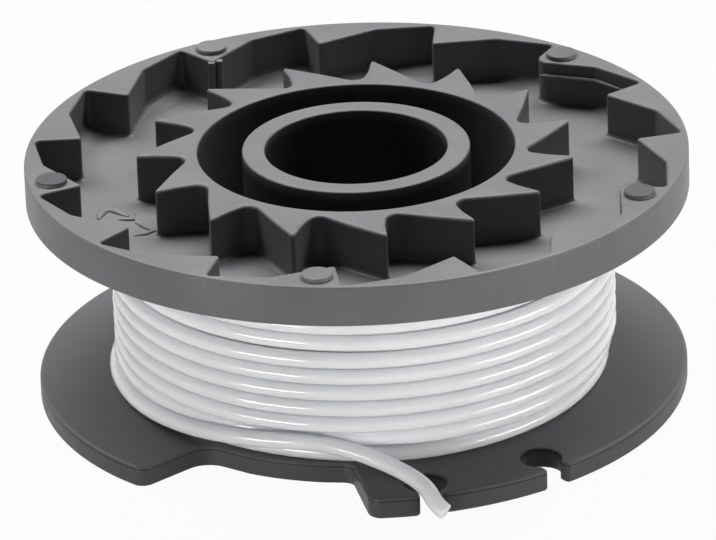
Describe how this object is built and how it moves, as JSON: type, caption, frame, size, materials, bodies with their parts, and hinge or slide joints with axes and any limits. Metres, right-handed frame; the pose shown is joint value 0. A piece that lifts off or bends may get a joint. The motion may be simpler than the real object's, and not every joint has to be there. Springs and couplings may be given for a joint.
{
  "type": "trimmer line spool",
  "caption": "Moulded spool with a ratchet-toothed upper flange and a recessed, notched lower flange, wound with translucent nylon trimmer line.",
  "frame": {"origin": "on the bore's axis, in the plane of the lower flange's underside", "axes": "+Z along the bore towards the ratchet teeth, -Y towards the notch that holds the line's free end"},
  "size_m": [0.064, 0.0643, 0.0247],
  "materials": {
    "spool_plastic": "satin",
    "nylon_line": "gloss"
  },
  "bodies": {
    "root": {"spool_body": "spool_plastic", "line_winding": "nylon_line", "line_end": "nylon_line"}
  },
  "joints": []
}
